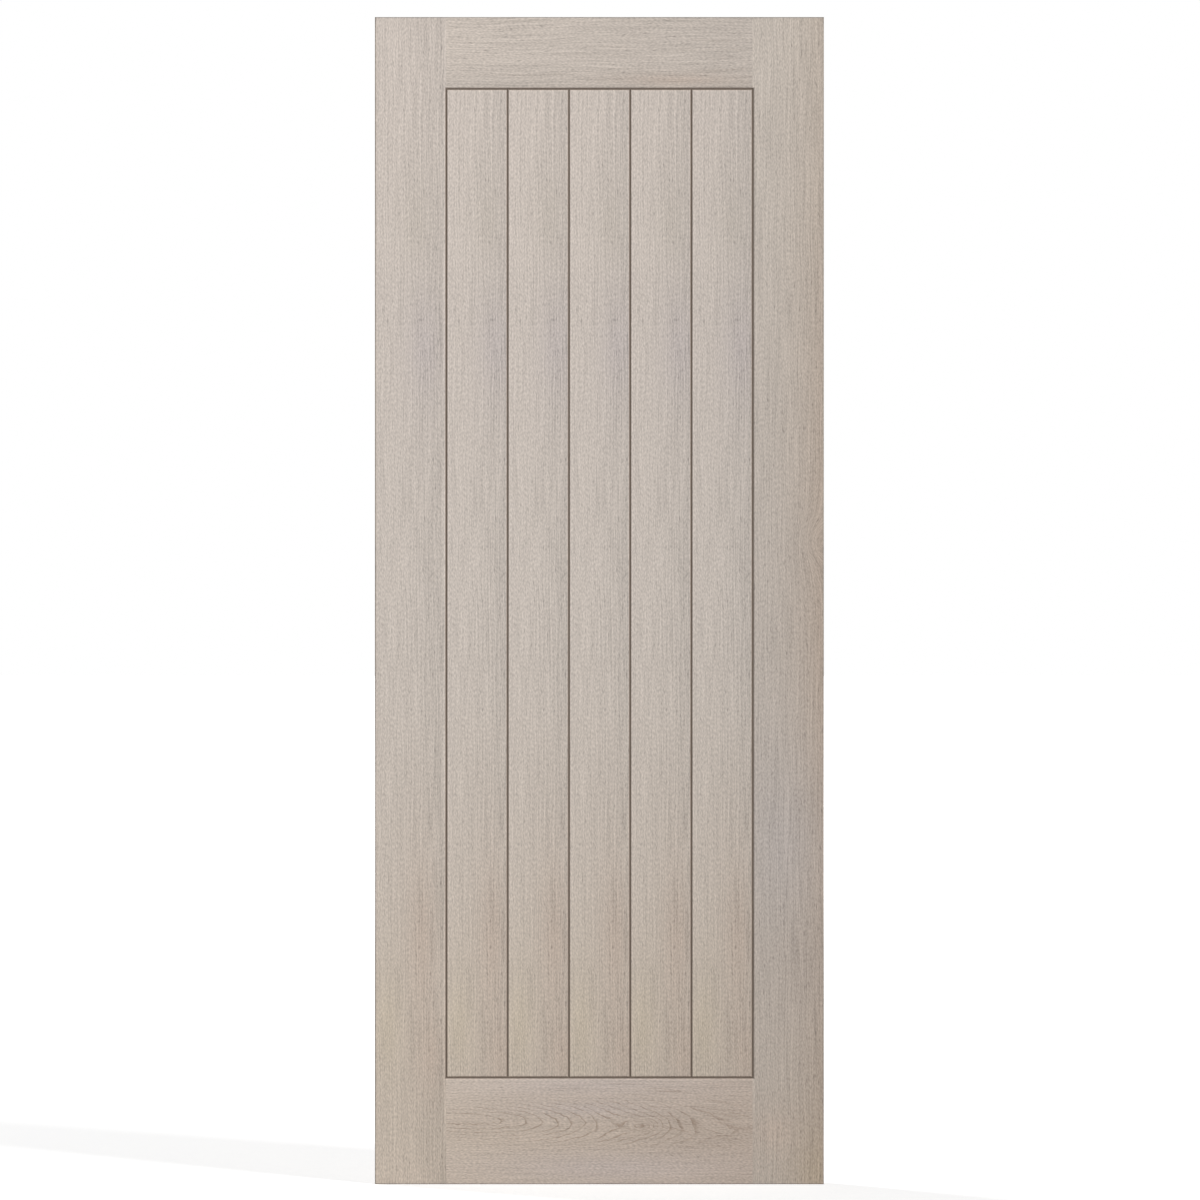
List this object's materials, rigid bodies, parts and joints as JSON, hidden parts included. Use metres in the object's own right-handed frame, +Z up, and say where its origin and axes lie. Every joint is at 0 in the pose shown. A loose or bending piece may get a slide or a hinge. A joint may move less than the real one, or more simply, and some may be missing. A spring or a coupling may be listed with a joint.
{
  "type": "boarded fire door leaf",
  "caption": "Flush-edged internal fire door leaf with upright V-jointed boards framed by stiles and rails, in light grey oak laminate, to be hung on hinges.",
  "frame": {"origin": "on the flat face of the left edge lipping, taken as the hinge edge, at the foot of the leaf and midway through its thickness", "axes": "+X across the leaf to the lock edge, +Y from the front face through to the back face, +Z up the leaf"},
  "size_m": [0.762, 0.044, 1.981],
  "materials": {
    "oak_laminate": "matte",
    "edge_lipping": "matte",
    "core_timber": "matte",
    "core_board": "matte"
  },
  "bodies": {
    "root": {"left_stile_core": "core_timber", "left_stile_front_skin": "oak_laminate", "left_stile_back_skin": "oak_laminate", "left_edge_lipping": "edge_lipping", "right_stile_core": "core_timber", "right_stile_front_skin": "oak_laminate", "right_stile_back_skin": "oak_laminate", "right_edge_lipping": "edge_lipping", "top_rail_core": "core_timber", "top_rail_front_skin": "oak_laminate", "top_rail_back_skin": "oak_laminate", "bottom_rail_core": "core_timber", "bottom_rail_front_skin": "oak_laminate", "bottom_rail_back_skin": "oak_laminate", "panel_core": "core_board", "front_board_1": "oak_laminate", "front_board_2": "oak_laminate", "front_board_3": "oak_laminate", "front_board_4": "oak_laminate", "front_board_5": "oak_laminate", "back_board_1": "oak_laminate", "back_board_2": "oak_laminate", "back_board_3": "oak_laminate", "back_board_4": "oak_laminate", "back_board_5": "oak_laminate"}
  },
  "joints": []
}
